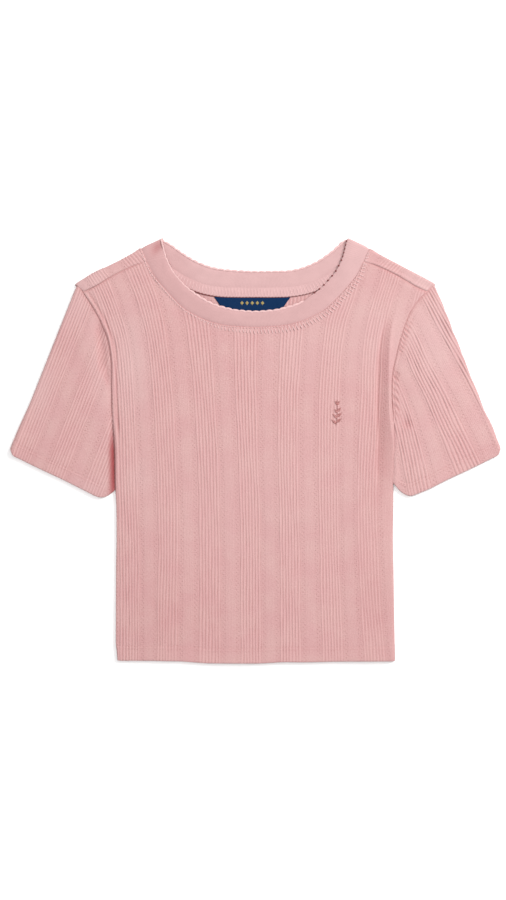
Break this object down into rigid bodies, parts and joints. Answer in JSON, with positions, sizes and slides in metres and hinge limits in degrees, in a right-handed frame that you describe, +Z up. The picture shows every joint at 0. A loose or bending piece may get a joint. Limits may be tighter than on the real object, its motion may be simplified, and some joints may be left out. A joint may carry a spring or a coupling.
{
  "type": "t-shirt",
  "caption": "Short-sleeved cropped tee in rib-and-eyelet jersey, laid flat, with a scalloped crew neckband and forward shoulder seams.",
  "frame": {"origin": "middle of the outline, on the surface that the shirt lies on", "axes": "+X across the shirt to the wearer's left sleeve, +Y from the hem to the neck, +Z up, out of the front"},
  "size_m": [0.5164, 0.446, 0.0051],
  "materials": {
    "rib_eyelet_jersey": "soft matt cotton jersey in dusty pink, with bands of narrow ribs and columns of small eyelets",
    "neck_rib": "soft matt cotton rib in the same pink, smoother than the body",
    "picot_thread": "soft cotton thread edging in pale pink",
    "label_weave": "navy woven satin tape with a faint lustre"
  },
  "bodies": {
    "root": {"front_panel": "rib_eyelet_jersey", "back_panel": "rib_eyelet_jersey", "sleeve_left": "rib_eyelet_jersey", "sleeve_right": "rib_eyelet_jersey", "neckband": "neck_rib", "picot_trim": "picot_thread", "neck_label": "label_weave"}
  },
  "joints": []
}
